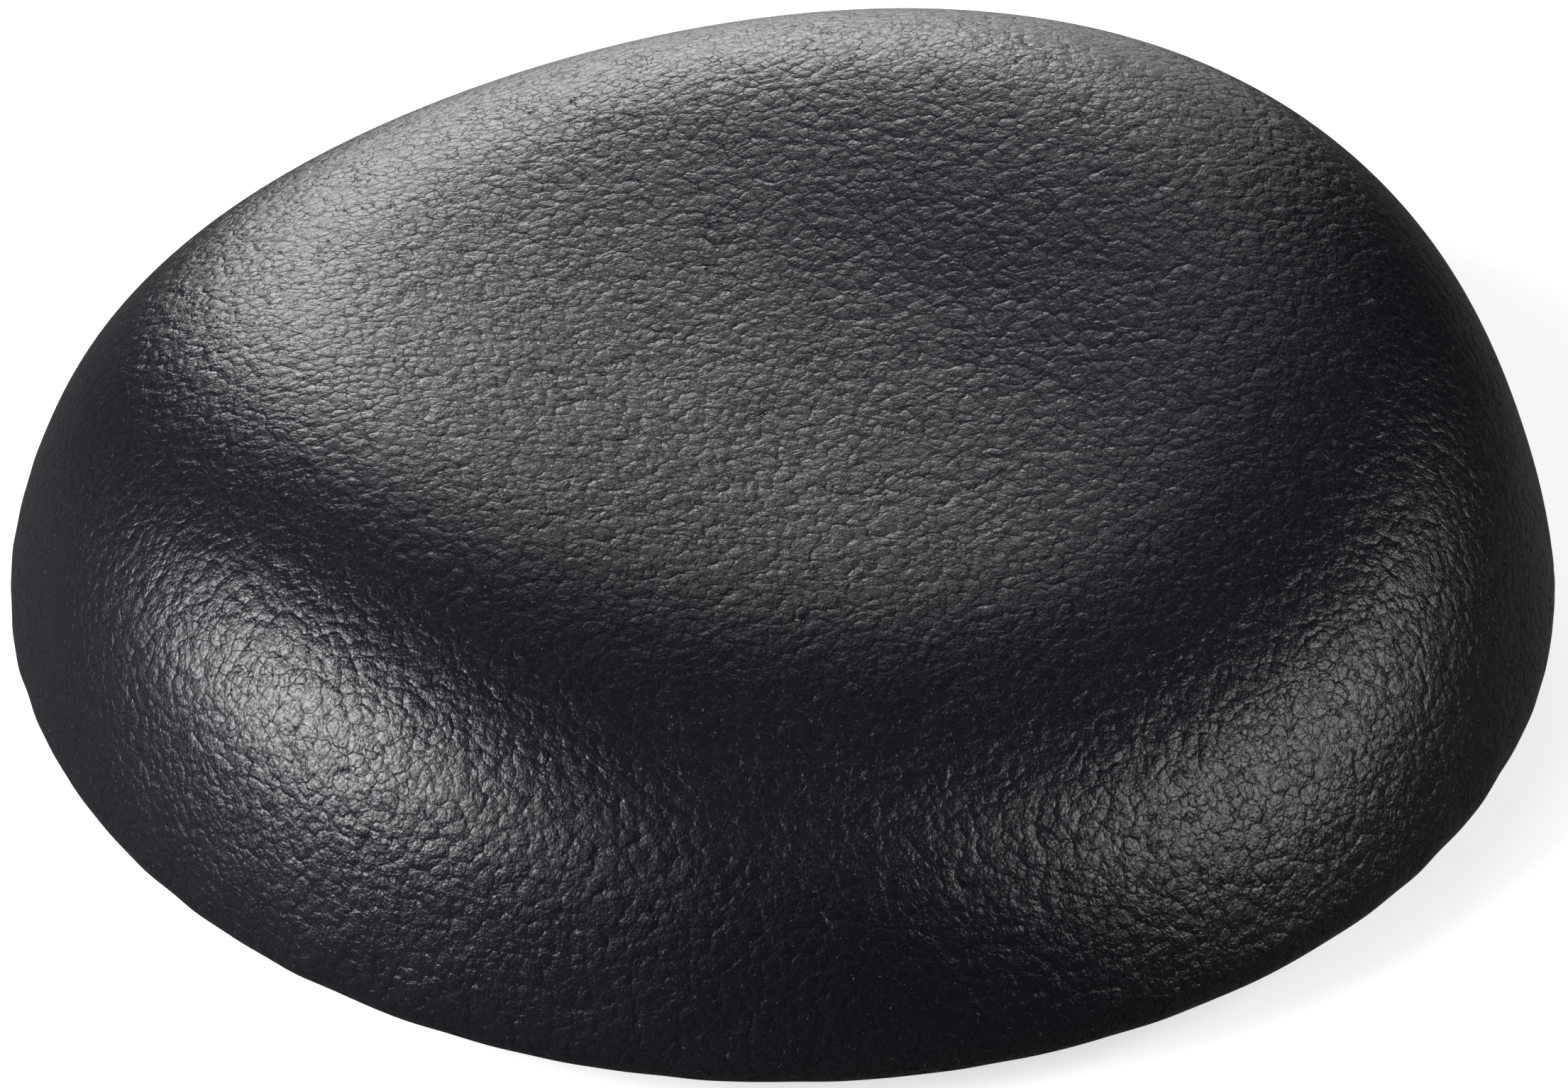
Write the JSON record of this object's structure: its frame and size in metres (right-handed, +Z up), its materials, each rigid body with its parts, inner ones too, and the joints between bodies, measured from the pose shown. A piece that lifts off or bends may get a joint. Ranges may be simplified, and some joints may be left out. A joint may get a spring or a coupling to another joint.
{
  "type": "chair armrest pad",
  "caption": "Round padded armrest top with a shallow forearm trough, grained black cover over foam on a ribbed carrier with bolt inserts underneath.",
  "frame": {"origin": "centre of the four bolt holes, in the plane of the underside that rests on the chair arm", "axes": "+Z up, out of the soft top; +Y along the forearm trough; +X across the arm, towards a raised flank; millimetre model stored in metres"},
  "size_m": [0.1098, 0.1098, 0.0286],
  "materials": {
    "cover_leather": "fine pebble grain, satin",
    "soft_foam": "open-cell foam, matt",
    "firm_foam": "moulded foam, matt",
    "carrier_nylon": "glass-filled, matt",
    "insert_brass": "turned",
    "staple_steel": "galvanised wire",
    "cover_plastic": "fine spark-eroded texture",
    "screw_steel": "black zinc"
  },
  "bodies": {
    "root": {"cover_skin": "cover_leather", "wrap_foam": "soft_foam", "foam_core": "firm_foam", "carrier_plate": "carrier_nylon", "threaded_inserts": "insert_brass", "hem_staples": "staple_steel", "base_cover": "cover_plastic", "cover_screws": "screw_steel"}
  },
  "joints": []
}
